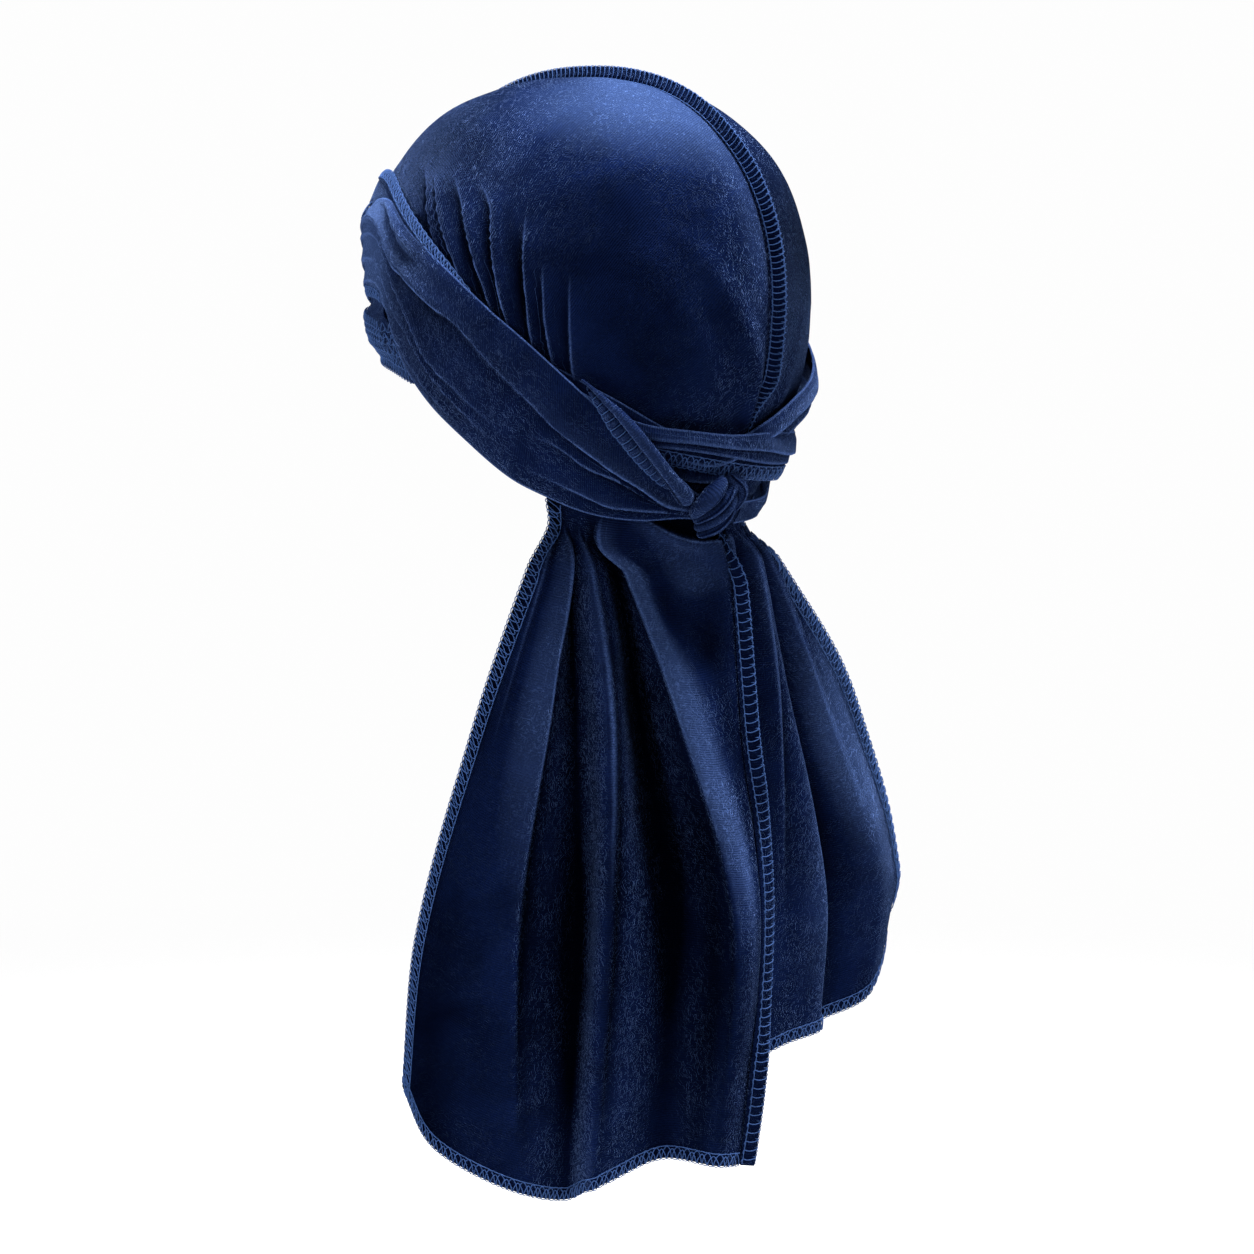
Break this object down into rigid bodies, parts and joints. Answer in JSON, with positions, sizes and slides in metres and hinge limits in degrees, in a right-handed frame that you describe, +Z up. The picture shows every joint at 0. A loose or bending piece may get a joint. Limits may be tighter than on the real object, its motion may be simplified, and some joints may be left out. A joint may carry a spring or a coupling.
{
  "type": "velvet durag",
  "caption": "Velvet durag tied as worn: crown and pleated tail panels joined by a raised centre seam, with long straps wrapped round the head and knotted at the nape.",
  "frame": {"origin": "inner top of the crown, where the top of the head touches it", "axes": "+Z up, front of the head towards -Y, nape and tail towards +Y, wearer's left towards +X"},
  "size_m": [0.228, 0.2013, 0.4459],
  "materials": {
    "velvet": "soft navy blue pile with a light sheen",
    "stitched_edge": "navy blue velvet edge covered with lighter blue overlock thread"
  },
  "bodies": {
    "root": {"panel_left": "velvet", "panel_right": "velvet", "centre_seam": "stitched_edge", "front_hem": "stitched_edge", "strap_left": "velvet", "strap_right": "velvet", "strap_roll": "velvet", "knot_outer": "velvet", "knot_middle": "velvet", "knot_inner": "velvet", "knot_return": "velvet"}
  },
  "joints": []
}
